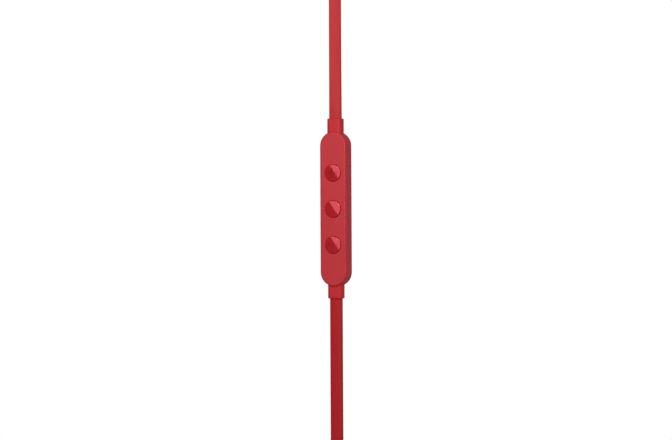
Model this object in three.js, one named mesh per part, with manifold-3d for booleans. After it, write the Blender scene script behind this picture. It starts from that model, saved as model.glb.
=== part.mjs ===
// Wired in-ear earphones with a three-button in-line remote on a flat cord.
// Millimetres, +Z up. The origin is the middle of the remote's flat back, +Y runs along the remote
// towards the right earbud, and +Z comes out of the buttons. The cords lie on z = 0.
import * as THREE from 'three';
import { mergeVertices } from 'three/addons/utils/BufferGeometryUtils.js';
import Module from 'manifold-3d';

const wasm = await Module();
wasm.setup();

// Remote.
const REMOTE_LENGTH = 43.2;
const REMOTE_WIDTH = 7.95;
const REMOTE_HEIGHT = 4.2;
const REMOTE_EDGE = 0.42;
const WALL = 0.8;
const SEAM_Z = 0.78;
const SEAM_GAP = 0.06;
const LIP = { gap: 0.1, thick: 0.4, halfLength: 17.4, z: [SEAM_Z - 0.2, SEAM_Z + 0.4] };
const MID_Z = REMOTE_HEIGHT / 2;
const BUTTON_PITCH = 10.05;
const BUTTON_RADIUS = 2.4;
const BUTTON_HOLE_RADIUS = 2.5;
const BUTTON_RISE = 0.42;
const BUTTON_FLANGE_RADIUS = 2.75;
const BUTTON_FLANGE_Z = [3.08, 3.33];
const MARK = { half: 1.45, width: 0.58, depth: 0.12 };
const PAD_Z = [2.65, 2.78];
const BOARD = { width: 5.2, length: 34, z: [1.75, 2.15] };
const SWITCH = { side: 3, z: [2.2, 2.5], plunger: 0.7, top: 2.6 };
const CHIP = { y: 5, side: 2.2, z: [1.15, 1.7] };
const MICROPHONE = { y: -14, width: 2.4, length: 1.8, z: [0.95, 1.7], port: 0.5 };
const MICROPHONE_MESH = { radius: 0.75, z: [0.82, 0.9] };

// Strain reliefs of the remote.
const SLEEVE_WIDTH = 4.32;
const SLEEVE_THICK = 3.0;
const SLEEVE_CORNER = 0.85;
const SLEEVE_INNER_Y = 18.0;
const SLEEVE_OUTER_Y = 25.3;
const SLEEVE_FLANGE = { width: 5.2, thick: 2.3, corner: 0.3, length: 1.1 };
const NOTCH_GAP = 0.15;
const LEADS = { pitch: 0.8, width: 0.34, z: [2.2, 2.5] };

// Flat cord.
const CORD_WIDTH = 3.35;
const CORD_THICK = 1.65;
const CORD_CHAMFER = 0.35;
const CORD_GAP = 0.3;
const EDGE_Z = 1.73;
const UPPER_LEAN = 0.22;

// Earbuds: s runs from the cord's end of an earbud to its ear tip.
const BUD_Z = 6.25;
const RIGHT_BUD = { x: 16, y: 98 };
const LEFT_BUD = { x: 11.5, y: -82.5 };
const TURN_Y = 102;
const TURN_RADIUS = 8;

// Hank: two layers of turns about a slot, in line with the remote.
const HANK_X = 11.5;
const HANK_TOP_Y = -83;
const HANK_BOTTOM_Y = -153;
const HANK_OUTER = 14;
const MAIN_INNER = 6.25;
const LEFT_INNER = 10.55;
const LOW_Z = 2.5;
const HIGH_Z = 6.2;
const OUTER_RUN = 13.15;
const RUN_STEP = 0.86;
const MAIN_LAST_RUN = OUTER_RUN - 7 * RUN_STEP;
const LEFT_LAST_RUN = OUTER_RUN - 2 * RUN_STEP;
const SIDE_RUN_X = -3.55;

// Splitter, plug and tie.
const SPLITTER = { x: [6, 17], y: -169.4, z: 4.35, thick: 4.2, height: 8 };
const PLUG = { x: HANK_X + 3, y: -146.5, z: 3.1 };
const TIE = { y: [-124, -116], x: [-5.1, 26.4], z: [0, 8.8], band: 0.55 };

const RED_SHELL = { color: 0xb5373d, roughness: 0.55, metalness: 0 };
const RED_BUTTON = { color: 0xb02a33, roughness: 0.12, metalness: 0 };
const RED_SLEEVE = { color: 0xb8343a, roughness: 0.6, metalness: 0 };
const RED_CORD = { color: 0xb22c31, roughness: 0.6, metalness: 0 };
const SILICONE = { color: 0xb9b9b6, roughness: 0.7, metalness: 0 };
const BOARD_GREEN = { color: 0x1d6b3a, roughness: 0.5, metalness: 0 };
const BLACK = { color: 0x1c1c1e, roughness: 0.45, metalness: 0 };
const STEEL = { color: 0xb9bbbd, roughness: 0.3, metalness: 1 };
const GOLD = { color: 0xc9a24a, roughness: 0.3, metalness: 1 };
const COPPER = { color: 0xb3703a, roughness: 0.4, metalness: 1 };
const FILM = { color: 0xd8d4c8, roughness: 0.4, metalness: 0 };

const group = new THREE.Group();
group.name = 'wired_earphones';

// A closed geometry as a solid that faces out.
function solid(geometry) {
  const plain = geometry.index ? geometry.toNonIndexed() : geometry;
  const bare = new THREE.BufferGeometry();
  bare.setAttribute('position', plain.getAttribute('position'));
  const merged = mergeVertices(bare, 1e-4);
  const all = Array.from(merged.index.array);
  let faces = [];
  for (let i = 0; i < all.length; i += 3) {
    const [a, b, c] = all.slice(i, i + 3);
    if (a !== b && b !== c && c !== a) faces.push([a, b, c]);
  }
  const vertProperties = merged.attributes.position.array;
  const at = (i) => new THREE.Vector3().fromArray(vertProperties, 3 * i);
  const volume = faces.reduce((sum, [a, b, c]) => sum + at(a).dot(at(b).cross(at(c))), 0);
  if (volume < 0) faces = faces.map(([a, b, c]) => [a, c, b]);
  const triVerts = new Uint32Array(faces.flat());
  return new wasm.Manifold(new wasm.Mesh({ numProp: 3, vertProperties, triVerts }));
}

// Adds a solid to the group as one named piece.
function piece(name, shape, look) {
  const mesh = shape.getMesh();
  const geometry = new THREE.BufferGeometry();
  const positions = new Float32Array(mesh.numVert * 3);
  for (let i = 0; i < mesh.numVert; i++) {
    const start = i * mesh.numProp;
    positions.set(mesh.vertProperties.subarray(start, start + 3), i * 3);
  }
  geometry.setAttribute('position', new THREE.BufferAttribute(positions, 3));
  geometry.setIndex(new THREE.BufferAttribute(mesh.triVerts, 1));
  const material = new THREE.MeshStandardMaterial({ ...look, flatShading: true });
  const made = new THREE.Mesh(geometry, material);
  made.name = name;
  group.add(made);
  return made;
}

function box(x, y, z) {
  const geometry = new THREE.BoxGeometry(x[1] - x[0], y[1] - y[0], z[1] - z[0]);
  geometry.translate((x[0] + x[1]) / 2, (y[0] + y[1]) / 2, (z[0] + z[1]) / 2);
  return solid(geometry);
}

// A cylinder standing along Z.
function post(radius, x, y, z, sides = 24) {
  const geometry = new THREE.CylinderGeometry(radius, radius, z[1] - z[0], sides);
  geometry.rotateX(Math.PI / 2);
  geometry.translate(x, y, (z[0] + z[1]) / 2);
  return solid(geometry);
}

function stadiumShape(halfWidth, halfLength, x = 0, y = 0) {
  const shape = new THREE.Shape();
  const straight = halfLength - halfWidth;
  shape.absarc(x, y + straight, halfWidth, 0, Math.PI, false);
  shape.absarc(x, y - straight, halfWidth, Math.PI, 2 * Math.PI, false);
  shape.closePath();
  return shape;
}

// A straight prism with round ends, along Y.
function stadium(halfWidth, halfLength, z, x = 0, y = 0, segments = 12) {
  const options = { depth: z[1] - z[0], bevelEnabled: false, curveSegments: segments };
  const geometry = new THREE.ExtrudeGeometry(stadiumShape(halfWidth, halfLength, x, y), options);
  geometry.translate(0, 0, z[0]);
  return solid(geometry);
}

// A body of revolution about a line along -Y: the profile is a list of [radius, s].
function turned(profile, x, y, z, sides = 24) {
  const points = profile.map(([r, s]) => new THREE.Vector2(r, -s));
  const geometry = new THREE.LatheGeometry(points, sides);
  geometry.translate(x, y, z);
  return solid(geometry);
}

// The same, about a line along +Y.
function turnedUp(profile, x, y, z, sides = 20) {
  const points = profile.map(([r, s]) => new THREE.Vector2(r, s));
  const geometry = new THREE.LatheGeometry(points, sides);
  geometry.translate(x, y, z);
  return solid(geometry);
}

// A closed skin over rings that all have the same number of points.
function loft(rings) {
  const count = rings[0].length;
  const positions = [];
  const face = (a, b, c) => positions.push(...a.toArray(), ...b.toArray(), ...c.toArray());
  for (let i = 0; i + 1 < rings.length; i++) {
    for (let k = 0; k < count; k++) {
      const next = (k + 1) % count;
      face(rings[i][k], rings[i][next], rings[i + 1][next]);
      face(rings[i][k], rings[i + 1][next], rings[i + 1][k]);
    }
  }
  const first = rings[0];
  const last = rings[rings.length - 1];
  for (let k = 1; k + 1 < count; k++) {
    face(first[0], first[k + 1], first[k]);
    face(last[0], last[k], last[k + 1]);
  }
  const geometry = new THREE.BufferGeometry();
  geometry.setAttribute('position', new THREE.Float32BufferAttribute(positions, 3));
  return solid(geometry);
}

// Sixteen points of a rectangle with round corners, across u and v.
function roundedSection(centre, u, v, width, thick, corner) {
  const points = [];
  for (let quarter = 0; quarter < 4; quarter++) {
    for (let step = 0; step < 4; step++) {
      const angle = ((quarter + (step + 0.5) / 4) * Math.PI) / 2;
      const signU = quarter === 0 || quarter === 3 ? 1 : -1;
      const signV = quarter < 2 ? 1 : -1;
      const a = signU * (width / 2 - corner) + corner * Math.cos(angle);
      const b = signV * (thick / 2 - corner) + corner * Math.sin(angle);
      points.push(centre.clone().addScaledVector(u, a).addScaledVector(v, b));
    }
  }
  return points;
}

// A flat cord through stations of [x, y, z, roll]: roll 0 lies flat, roll 1 stands on its edge.
function flatCord(stations) {
  const up = new THREE.Vector3(0, 0, 1);
  const at = stations.map(([x, y, z]) => new THREE.Vector3(x, y, z));
  const rings = stations.map(([, , , roll], i) => {
    const from = at[Math.max(i - 1, 0)];
    const to = at[Math.min(i + 1, at.length - 1)];
    const along = to.clone().sub(from).normalize();
    const side = along.clone().cross(up).normalize();
    const rise = side.clone().cross(along);
    const angle = (roll * Math.PI) / 2;
    const u = side.clone().multiplyScalar(Math.cos(angle)).addScaledVector(rise, Math.sin(angle));
    const v = rise.clone().multiplyScalar(Math.cos(angle)).addScaledVector(side, -Math.sin(angle));
    const w = CORD_WIDTH / 2;
    const t = CORD_THICK / 2;
    const c = CORD_CHAMFER;
    const right = [[w - c, -t], [w, c - t], [w, t - c], [w - c, t]];
    const left = right.map(([a, b]) => [-a, b]).reverse();
    const corners = [...right, ...left];
    return corners.map(([a, b]) => at[i].clone().addScaledVector(u, a).addScaledVector(v, b));
  });
  return loft(rings);
}

const ease = (t) => {
  const k = Math.min(Math.max(t, 0), 1);
  return k * k * (3 - 2 * k);
};
const mix = (a, b, t) => a + (b - a) * t;

// Stations on an arc about (x, y), from angle a to angle b in degrees.
function arc(x, y, radius, a, b, count, z, roll) {
  const stations = [];
  for (let i = 0; i <= count; i++) {
    const angle = (mix(a, b, i / count) * Math.PI) / 180;
    const height = mix(z[0], z[1], ease(i / count));
    stations.push([x + radius * Math.cos(angle), y + radius * Math.sin(angle), height, roll]);
  }
  return stations;
}

function remoteShells() {
  const edge = REMOTE_EDGE;
  const options = {
    depth: REMOTE_HEIGHT - 2 * edge,
    bevelThickness: edge,
    bevelSize: edge,
    bevelOffset: -edge,
    bevelSegments: 3,
    curveSegments: 14,
  };
  const outline = stadiumShape(REMOTE_WIDTH / 2, REMOTE_LENGTH / 2);
  const block = new THREE.ExtrudeGeometry(outline, options);
  block.translate(0, 0, edge);
  const outer = solid(block);
  const far = [-40, 40];
  const inner = REMOTE_WIDTH / 2 - WALL;
  const innerLength = REMOTE_LENGTH / 2 - WALL;
  const notch = SLEEVE_WIDTH / 2 + NOTCH_GAP;
  let front = outer.intersect(box(far, far, [SEAM_Z + SEAM_GAP, 9]));
  front = front.subtract(stadium(inner, innerLength, [-1, REMOTE_HEIGHT - WALL]));
  const notchHalf = SLEEVE_THICK / 2 + NOTCH_GAP;
  const notchZ = [MID_Z - notchHalf, MID_Z + notchHalf];
  const notches = [[-40, 0.2 - SLEEVE_INNER_Y], [SLEEVE_INNER_Y - 0.2, 40]];
  notches.forEach((y) => {
    front = front.subtract(box([-notch, notch], y, notchZ));
  });
  [-1, 0, 1].forEach((i) => {
    front = front.subtract(post(BUTTON_HOLE_RADIUS, 0, i * BUTTON_PITCH, [2, 6], 32));
  });
  piece('remote_front_shell', front, RED_SHELL);

  const hollow = LIP.gap + LIP.thick;
  const lip = stadium(inner - LIP.gap, innerLength - LIP.gap, LIP.z)
    .subtract(stadium(inner - hollow, innerLength - hollow, [0, REMOTE_HEIGHT]))
    .intersect(box(far, [-LIP.halfLength, LIP.halfLength], [0, REMOTE_HEIGHT]));
  let back = outer
    .intersect(box(far, far, [-1, SEAM_Z]))
    .add(lip)
    .subtract(post(MICROPHONE.port, 0, MICROPHONE.y, [-1, 2], 16));
  notches.forEach((y) => {
    back = back.subtract(box([-notch, notch], y, notchZ));
  });
  piece('remote_back_shell', back, RED_SHELL);
}

function remoteButton(name, y, mark) {
  const top = REMOTE_HEIGHT + BUTTON_RISE;
  const [low, high] = BUTTON_FLANGE_Z;
  const profile = [
    [0, low],
    [BUTTON_FLANGE_RADIUS, low],
    [BUTTON_FLANGE_RADIUS, high],
    [BUTTON_RADIUS, high],
    [BUTTON_RADIUS, top - 0.22],
    [BUTTON_RADIUS - 0.06, top - 0.12],
    [BUTTON_RADIUS - 0.2, top - 0.06],
    [BUTTON_RADIUS * 0.6, top - 0.02],
    [0, top],
  ];
  const points = profile.map(([r, z]) => new THREE.Vector2(r, z));
  const geometry = new THREE.LatheGeometry(points, 32);
  geometry.rotateX(Math.PI / 2);
  geometry.translate(0, y, 0);
  let cap = solid(geometry);
  const { half, width, depth } = MARK;
  const cut = [top - depth, top + 1];
  if (mark === 'dot') cap = cap.subtract(post(0.3, 0, y, cut, 12));
  if (mark !== 'dot') cap = cap.subtract(box([-half, half], [y - width / 2, y + width / 2], cut));
  if (mark === 'plus') cap = cap.subtract(box([-width / 2, width / 2], [y - half, y + half], cut));
  piece(name, cap, RED_BUTTON);
}

function remoteInside() {
  const pad = stadium(2.7, 16, PAD_Z, 0, 0, 6);
  piece('button_pad', pad, SILICONE);
  const halfWidth = BOARD.width / 2;
  const halfLength = BOARD.length / 2;
  const board = box([-halfWidth, halfWidth], [-halfLength, halfLength], BOARD.z);
  piece('circuit_board', board, BOARD_GREEN);
  const switches = ['volume_down_switch', 'centre_switch', 'volume_up_switch'];
  switches.forEach((name, i) => {
    const y = (i - 1) * BUTTON_PITCH;
    const half = SWITCH.side / 2;
    const body = box([-half, half], [y - half, y + half], SWITCH.z);
    const plunger = post(SWITCH.plunger, 0, y, [SWITCH.z[0] + 0.1, SWITCH.top], 16);
    piece(name, body.add(plunger), STEEL);
  });
  const chip = CHIP.side / 2;
  piece('control_chip', box([-chip, chip], [CHIP.y - chip, CHIP.y + chip], CHIP.z), BLACK);
  const { y, width, length, z } = MICROPHONE;
  piece('microphone_capsule', box([-width / 2, width / 2], [y - length / 2, y + length / 2], z), STEEL);
  piece('microphone_mesh', post(MICROPHONE_MESH.radius, 0, y, MICROPHONE_MESH.z, 16), BLACK);
}

// The sleeve where a cord enters the remote, and the wires from it to the board.
function remoteEnd(side, sleeveName, leadsName) {
  const u = new THREE.Vector3(1, 0, 0);
  const v = new THREE.Vector3(0, 0, 1);
  const ring = (y, width, thick, corner) =>
    roundedSection(new THREE.Vector3(0, side * y, MID_Z), u, v, width, thick, corner);
  const sleeve = loft([
    ring(SLEEVE_INNER_Y, SLEEVE_WIDTH, SLEEVE_THICK, SLEEVE_CORNER),
    ring(SLEEVE_OUTER_Y - 0.25, SLEEVE_WIDTH, SLEEVE_THICK, SLEEVE_CORNER),
    ring(SLEEVE_OUTER_Y, SLEEVE_WIDTH - 0.4, SLEEVE_THICK - 0.4, SLEEVE_CORNER - 0.15),
  ]);
  const { width, thick, corner, length } = SLEEVE_FLANGE;
  const flange = loft([
    ring(SLEEVE_INNER_Y, width, thick, corner),
    ring(SLEEVE_INNER_Y + length, width, thick, corner),
  ]);
  piece(sleeveName, sleeve.add(flange), RED_SLEEVE);
  const span = (a, b) => (side > 0 ? [a, b] : [-b, -a]);
  const half = LEADS.width / 2;
  let leads = box([-1.4, 1.4], span(17.1, 17.9), LEADS.z);
  [-1.5, -0.5, 0.5, 1.5].forEach((i) => {
    const x = i * LEADS.pitch;
    leads = leads.add(box([x - half, x + half], span(15.2, 17.3), LEADS.z));
  });
  piece(leadsName, leads, COPPER);
}

// A relief that grows from the flat cord to a round neck, along -Y for sign -1 and +Y for sign 1.
function roundRelief(x, y, z, sign, length, endRadius, neckRadius, neckLength) {
  const u = new THREE.Vector3(0, 0, 1);
  const v = new THREE.Vector3(1, 0, 0);
  const sections = [
    [0, 4.1, 2.1, 0.6],
    [0.3, 4.3, 2.4, 0.8],
    [length * 0.35, 4.4, 2.8, 1.1],
    [length * 0.7, mix(4.4, 2 * endRadius, 0.6), mix(2.8, 2 * endRadius, 0.6), endRadius * 0.7],
    [length, 2 * endRadius, 2 * endRadius, endRadius * 0.98],
  ];
  const rings = sections.map(([s, width, thick, corner]) =>
    roundedSection(new THREE.Vector3(x, y + sign * s, z), u, v, width, thick, corner));
  const neckS = [length - 0.2, length + neckLength];
  const neck = [[0, neckS[0]], [neckRadius, neckS[0]], [neckRadius, neckS[1]], [0, neckS[1]]];
  const lathe = sign < 0 ? turned : turnedUp;
  return loft(rings).add(lathe(neck, x, y, z, 20));
}

function earbud(side, { x, y }) {
  const z = BUD_Z;
  const make = (name, profile, look, sides = 24) =>
    piece(side + '_' + name, turned(profile, x, y, z, sides), look);
  piece(side + '_earbud_strain_relief', roundRelief(x, y, z, -1, 6, 2.8, 2.2, 2.2), RED_SLEEVE);
  make('rear_housing', [
    [2.35, 6.15], [3.1, 6.15], [3.5, 6.6], [4.5, 7.9], [5.2, 9.6], [5.5, 11.6], [5.5, 13.35],
    [4.8, 13.35], [4.8, 11.4], [4.3, 9.6], [3.4, 8.5], [2.35, 7.9], [2.35, 6.15],
  ], RED_SHELL);
  make('front_housing', [
    [4.6, 13.45], [5.5, 13.45], [5.45, 15.2], [5.0, 16.4], [3.9, 17.4], [2.6, 17.9], [2.6, 22.7],
    [2.75, 22.9], [2.75, 23.5], [2.5, 23.8], [2.0, 23.8], [2.0, 18.2], [4.2, 16.4], [4.6, 15.6],
    [4.6, 13.45],
  ], RED_SHELL);
  make('driver_frame', [
    [0, 12.4], [4.3, 12.4], [4.3, 16.0], [4.0, 16.0], [4.0, 12.8], [0, 12.8],
  ], BLACK);
  make('driver_magnet', [[0, 12.9], [2.6, 12.9], [2.6, 14.1], [0, 14.1]], STEEL, 20);
  make('voice_coil', [[2.9, 13.6], [3.2, 13.6], [3.2, 15.2], [2.9, 15.2], [2.9, 13.6]], COPPER, 20);
  make('driver_diaphragm', [
    [0, 15.7], [2.0, 15.5], [2.9, 15.3], [3.85, 15.3], [3.85, 15.5], [3.0, 15.5], [2.1, 15.7], [0, 15.9],
  ], FILM, 20);
  make('nozzle_mesh', [[0, 23.2], [1.88, 23.2], [1.88, 23.4], [0, 23.4]], STEEL, 20);
  make('ear_tip', [
    [2.85, 18.6], [3.35, 18.6], [3.4, 23.4], [4.3, 23.2], [5.3, 21.8], [5.65, 20.0], [5.7, 18.9],
    [6.1, 18.8], [6.2, 19.8], [6.0, 21.6], [5.4, 23.3], [4.2, 24.6], [3.0, 25.4], [2.2, 25.5],
    [1.9, 25.2], [1.9, 24.3], [2.85, 24.1], [2.85, 18.6],
  ], SILICONE);
}

function plug() {
  const { x, y, z } = PLUG;
  const make = (name, profile, look, sides = 20) =>
    piece(name, turnedUp(profile, x, y, z, sides), look);
  piece('plug_strain_relief', roundRelief(x, y, z, 1, 6.2, 2.3, 1.8, 1.6), RED_SLEEVE);
  make('plug_housing', [
    [1.95, 6.4], [2.6, 6.4], [2.95, 6.8], [3.0, 7.6], [3.0, 16.6], [2.8, 17.4], [2.5, 17.6],
    [1.85, 17.6], [1.85, 14.4], [0, 14.4], [0, 8.3], [1.95, 8.3], [1.95, 6.4],
  ], RED_SHELL);
  make('plug_sleeve', [
    [0, 14.6], [1.7, 14.6], [1.7, 17.7], [1.75, 17.9], [1.75, 22.0], [0, 22.0],
  ], GOLD);
  const ring = (name, from, to, look) =>
    make(name, [[0, from], [1.75, from], [1.75, to], [0, to]], look);
  ring('plug_insulator_3', 22.04, 22.5, BLACK);
  ring('plug_ring_2', 22.54, 24.6, GOLD);
  ring('plug_insulator_2', 24.64, 25.1, BLACK);
  ring('plug_ring_1', 25.14, 27.2, GOLD);
  ring('plug_insulator_1', 27.24, 27.7, BLACK);
  make('plug_tip', [
    [0, 27.74], [1.75, 27.74], [1.75, 28.1], [1.2, 28.7], [1.25, 28.9], [1.72, 29.7], [1.6, 30.4],
    [0.9, 31.2], [0, 31.5],
  ], GOLD);
}

function splitter() {
  const { x, y, z, thick, height } = SPLITTER;
  const u = new THREE.Vector3(0, 0, 1);
  const v = new THREE.Vector3(0, 1, 0);
  const ring = (at, inset) => roundedSection(
    new THREE.Vector3(at, y, z), u, v, height - 2 * inset, thick - 2 * inset, 1.3 - inset);
  const body = loft([ring(x[0], 0.5), ring(x[0] + 0.5, 0), ring(x[1] - 0.5, 0), ring(x[1], 0.5)]);
  piece('cord_splitter', body, RED_SLEEVE);
}

function upperCord() {
  const start = SLEEVE_OUTER_Y + CORD_GAP;
  const stations = [[0, start, MID_Z, 0]];
  for (const y of [34, 42, 51, 60, 67, 74, 81, 88, 97]) {
    const lean = UPPER_LEAN * (1 - Math.exp((20 - y) / 9));
    const twist = lean + (1 - UPPER_LEAN) * ease((y - 60) / 36);
    stations.push([0, y, mix(MID_Z, EDGE_Z, ease((y - 60) / 30)), -twist]);
  }
  stations.push(...arc(TURN_RADIUS, TURN_Y, TURN_RADIUS, 180, 0, 9, [EDGE_Z, BUD_Z], -1));
  stations.push([RIGHT_BUD.x, RIGHT_BUD.y + CORD_GAP, BUD_Z, -1]);
  piece('upper_cord', flatCord(stations), RED_CORD);
}

function lowerCord() {
  const start = -SLEEVE_OUTER_Y - CORD_GAP;
  const stations = [[0, start, MID_Z, 0]];
  for (const y of [-44, -63, -67, -71, -75, -79, -83]) {
    const t = ease((-y - 63) / 20);
    stations.push([SIDE_RUN_X * t, y, mix(MID_Z, LOW_Z, t), t]);
  }
  stations.push([SIDE_RUN_X, -110, LOW_Z, 1]);
  stations.push([SIDE_RUN_X, -135, LOW_Z, 1]);
  const radius = SPLITTER.x[0] - SIDE_RUN_X;
  const corner = arc(SPLITTER.x[0], SPLITTER.y + radius, radius, 180, 270, 6, [LOW_Z, LOW_Z], 1);
  corner[6][0] -= CORD_GAP;
  stations.push(...corner);
  piece('lower_cord', flatCord(stations), RED_CORD);
}

// One layer of the hank: turns side by side, so a ring with round ends.
function hankRing(inner, z) {
  const half = (HANK_TOP_Y - HANK_BOTTOM_Y) / 2;
  const middle = (HANK_TOP_Y + HANK_BOTTOM_Y) / 2;
  const body = stadium(HANK_OUTER, half + HANK_OUTER, z, HANK_X, middle, 14);
  return body.subtract(stadium(inner, half + inner, [z[0] - 1, z[1] + 1], HANK_X, middle, 10));
}

function mainCord() {
  const half = CORD_WIDTH / 2;
  const layer = [LOW_Z - half, LOW_Z + half];
  piece('main_cord_hank', hankRing(MAIN_INNER, layer), RED_CORD);
  const radius = HANK_X + OUTER_RUN - SPLITTER.x[1];
  const corner = arc(SPLITTER.x[1], SPLITTER.y + radius, radius, 270, 345, 5, [LOW_Z, LOW_Z], 1);
  corner[0][0] += CORD_GAP;
  piece('main_cord_tail', flatCord(corner), RED_CORD);
  const bend = (MAIN_LAST_RUN + PLUG.x - HANK_X) / 2;
  const end = arc(PLUG.x - bend, -149.5, bend, 231, 360, 7, [LOW_Z, PLUG.z], 1);
  end.push([PLUG.x, PLUG.y - CORD_GAP, PLUG.z, 1]);
  piece('main_cord_end', flatCord(end), RED_CORD);
}

function leftCord() {
  const half = CORD_WIDTH / 2;
  const layer = [HIGH_Z - half, HIGH_Z + half];
  piece('left_cord_hank', hankRing(LEFT_INNER, layer), RED_CORD);
  const radius = SPLITTER.x[0] - (HANK_X - OUTER_RUN);
  const corner = arc(SPLITTER.x[0], SPLITTER.y + radius, radius, 270, 195, 5, [HIGH_Z, HIGH_Z], 1);
  corner[0][0] -= CORD_GAP;
  piece('left_cord_tail', flatCord(corner), RED_CORD);
  const bend = LEFT_LAST_RUN / 2;
  // It leaves its layer inside the layer's top bend and turns down to the earbud in the slot.
  const end = arc(HANK_X - bend, -81, bend, 74, 0, 4, [HIGH_Z, BUD_Z], 1);
  end.push([HANK_X, LEFT_BUD.y + CORD_GAP, BUD_Z, 1]);
  piece('left_cord_end', flatCord(end), RED_CORD);
}

function hankTie() {
  const { x, y, z, band } = TIE;
  const body = box(x, y, z);
  const inside = box([x[0] + band, x[1] - band], [y[0] - 1, y[1] + 1], [z[0] + band, z[1] - band]);
  piece('hank_tie', body.subtract(inside), BLACK);
}

remoteShells();
remoteButton('volume_up_button', BUTTON_PITCH, 'plus');
remoteButton('centre_button', 0, 'dot');
remoteButton('volume_down_button', -BUTTON_PITCH, 'minus');
remoteInside();
remoteEnd(1, 'upper_strain_relief', 'upper_inner_leads');
remoteEnd(-1, 'lower_strain_relief', 'lower_inner_leads');
earbud('right', RIGHT_BUD);
earbud('left', LEFT_BUD);
plug();
splitter();
upperCord();
lowerCord();
mainCord();
leftCord();
hankTie();

export default group;
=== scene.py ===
"""Wired in-ear earphones with a three-button in-line remote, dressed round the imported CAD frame.

Lengths are in millimetres, and make_mesh turns them into metres. Lights are placed in metres.
The frame is the record's: the origin is the middle of the remote's back, +Y runs along the remote
towards the right earbud and +Z comes out of the buttons. The cords lie on z = 0.
"""

import math

import bmesh
import bpy
from mathutils import Matrix, Vector


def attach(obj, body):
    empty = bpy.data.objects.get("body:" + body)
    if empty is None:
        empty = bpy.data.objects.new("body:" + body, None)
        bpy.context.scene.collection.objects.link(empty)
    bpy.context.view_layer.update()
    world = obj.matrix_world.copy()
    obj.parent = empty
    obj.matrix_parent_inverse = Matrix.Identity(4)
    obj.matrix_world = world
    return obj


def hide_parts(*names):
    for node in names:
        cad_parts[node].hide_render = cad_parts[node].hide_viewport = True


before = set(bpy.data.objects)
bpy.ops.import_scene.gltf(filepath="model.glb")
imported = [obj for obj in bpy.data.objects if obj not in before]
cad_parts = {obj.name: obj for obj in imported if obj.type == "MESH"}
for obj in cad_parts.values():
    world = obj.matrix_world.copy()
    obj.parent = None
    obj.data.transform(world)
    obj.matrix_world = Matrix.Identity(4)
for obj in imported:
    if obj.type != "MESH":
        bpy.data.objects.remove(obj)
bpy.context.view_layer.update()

MM = 0.001
ROOT = "earphones"
MERGE_DISTANCE = 1e-7
BIG_FACE_WEIGHT = 80

# ---------------------------------------------------------------- sizes, in millimetres

REMOTE_LENGTH, REMOTE_WIDTH, REMOTE_HEIGHT = 43.2, 7.95, 4.2
MID = REMOTE_HEIGHT / 2
PITCH = 10.05
SLEEVE_END = 25.3
CORD_WIDTH, CORD_THICK, CORD_CORNER, CORD_CROWN = 3.35, 1.65, 0.22, 0.05
EDGE_Z = 1.73
BUD_Z = 6.25
RIGHT_BUD = (16.0, 98.0)
LEFT_BUD = (11.5, -82.5)
HANK_X, HANK_TOP, HANK_BOTTOM = 11.5, -83.0, -153.0
LOW_Z, HIGH_Z = 2.5, 6.2
OUTER_RUN, SIDE_RUN_X, RUN_STEP = 13.15, -3.55, 0.86
SPLITTER_X, SPLITTER_Y, SPLITTER_Z = (6.0, 17.0), -169.4, 4.35
PLUG = (14.5, -146.5, 3.1)

# ---------------------------------------------------------------- small helpers


def mix(a, b, t):
    """The value a share t of the way from a to b."""
    return a + (b - a) * t


def ease(t):
    """A smooth step from 0 to 1."""
    t = min(max(t, 0.0), 1.0)
    return t * t * (3 - 2 * t)


def linear(code):
    """An sRGB colour code as linear RGBA."""
    values = [int(code[i : i + 2], 16) / 255 for i in (0, 2, 4)]
    return [v / 12.92 if v <= 0.04045 else ((v + 0.055) / 1.055) ** 2.4 for v in values] + [1.0]


def make_mesh(name, points, faces, sharp_angle=35):
    """A mesh object from points in millimetres, smooth except across edges sharper than the angle."""
    mesh = bpy.data.meshes.new(name)
    mesh.from_pydata([[c * MM for c in p] for p in points], [], faces)
    bm = bmesh.new()
    bm.from_mesh(mesh)
    bmesh.ops.remove_doubles(bm, verts=bm.verts, dist=MERGE_DISTANCE)
    bmesh.ops.recalc_face_normals(bm, faces=bm.faces)
    set_smooth(bm, sharp_angle)
    bm.to_mesh(mesh)
    bm.free()
    made = bpy.data.objects.new(name, mesh)
    bpy.context.scene.collection.objects.link(made)
    return made


def set_smooth(bm, sharp_angle):
    """Smooth shading, except across edges sharper than the angle in degrees."""
    limit = math.radians(sharp_angle)
    for face in bm.faces:
        face.smooth = True
    for edge in bm.edges:
        edge.smooth = edge.calc_face_angle(0.0) < limit


def loft(name, rings, closed=False, sharp_angle=35):
    """A skin over rings of points, capped at both ends unless it closes on itself."""
    count = len(rings[0])
    points = [p for ring in rings for p in ring]
    faces = []
    for i in range(len(rings) if closed else len(rings) - 1):
        a, b = i * count, ((i + 1) % len(rings)) * count
        for k in range(count):
            n = (k + 1) % count
            faces.append([a + k, a + n, b + n, b + k])
    if not closed:
        faces.append(list(range(count)))
        faces.append([len(points) - count + k for k in range(count)])
    return make_mesh(name, points, faces, sharp_angle)


def rounded_profile(corners, steps=4):
    """A profile of (radius, s, fillet) corners with each corner rounded by its fillet."""
    made = []
    for i, (r, s, fillet) in enumerate(corners):
        here = Vector((r, s))
        if fillet <= 0 or i in (0, len(corners) - 1):
            made.append((r, s))
            continue
        before = Vector(corners[i - 1][:2]) - here
        after = Vector(corners[i + 1][:2]) - here
        reach = min(fillet, before.length * 0.48, after.length * 0.48)
        a = here + before.normalized() * reach
        b = here + after.normalized() * reach
        for k in range(steps + 1):
            t = k / steps
            made.append(tuple(a * (1 - t) ** 2 + here * 2 * t * (1 - t) + b * t * t))
    return made


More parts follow.
